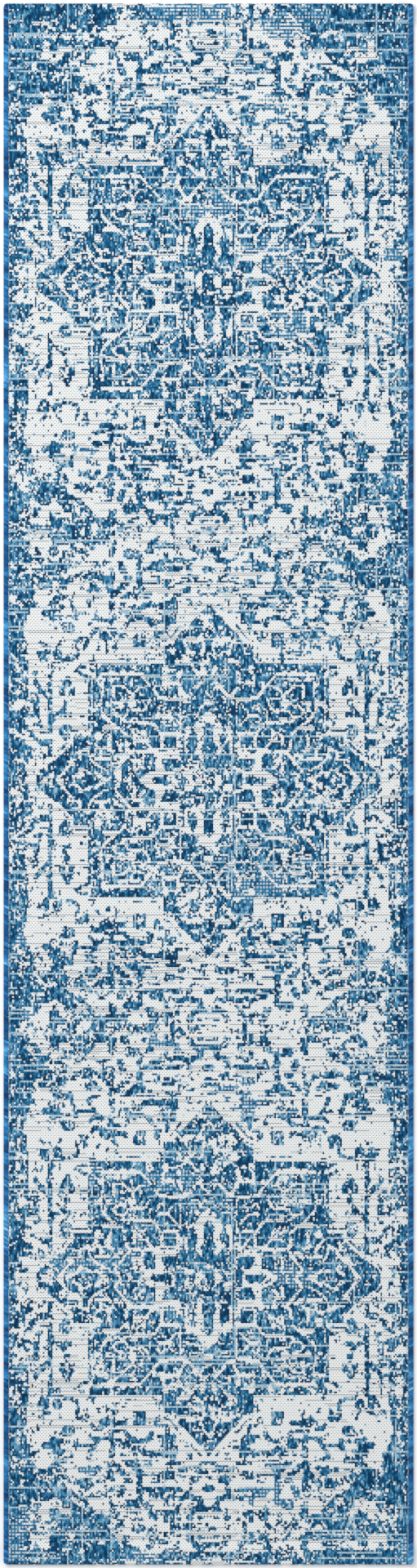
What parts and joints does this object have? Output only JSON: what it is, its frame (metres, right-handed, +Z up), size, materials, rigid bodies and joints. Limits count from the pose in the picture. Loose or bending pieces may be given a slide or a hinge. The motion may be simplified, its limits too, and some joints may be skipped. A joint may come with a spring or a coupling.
{
  "type": "runner rug",
  "caption": "Long narrow flat-woven runner rug with turned-under hemmed ends, yarn-bound long edges and a worn medallion pattern, lying flat.",
  "frame": {"origin": "on the floor, under the middle of the rug", "axes": "+Y along the rug towards its head end, +X across it, +Z up out of its face"},
  "size_m": [0.61, 2.32, 0.0085],
  "materials": {
    "woven_cloth": "matt flat-woven polypropylene, ivory and mixed blue yarns with thin charcoal yarns",
    "binding_yarn": "space-dyed blue yarn, wrapped",
    "edge_cord": "plain twisted cord",
    "sewing_thread": "navy polyester thread",
    "label_cloth": "blank white woven label",
    "label_thread": "pale polyester thread"
  },
  "bodies": {
    "root": {"woven_panel": "woven_cloth", "left_edge_cord": "edge_cord", "right_edge_cord": "edge_cord", "left_edge_binding": "binding_yarn", "right_edge_binding": "binding_yarn", "left_binding_lock_thread": "sewing_thread", "right_binding_lock_thread": "sewing_thread", "head_hem_thread": "sewing_thread", "foot_hem_thread": "sewing_thread", "care_label": "label_cloth", "care_label_thread": "label_thread"}
  },
  "joints": []
}
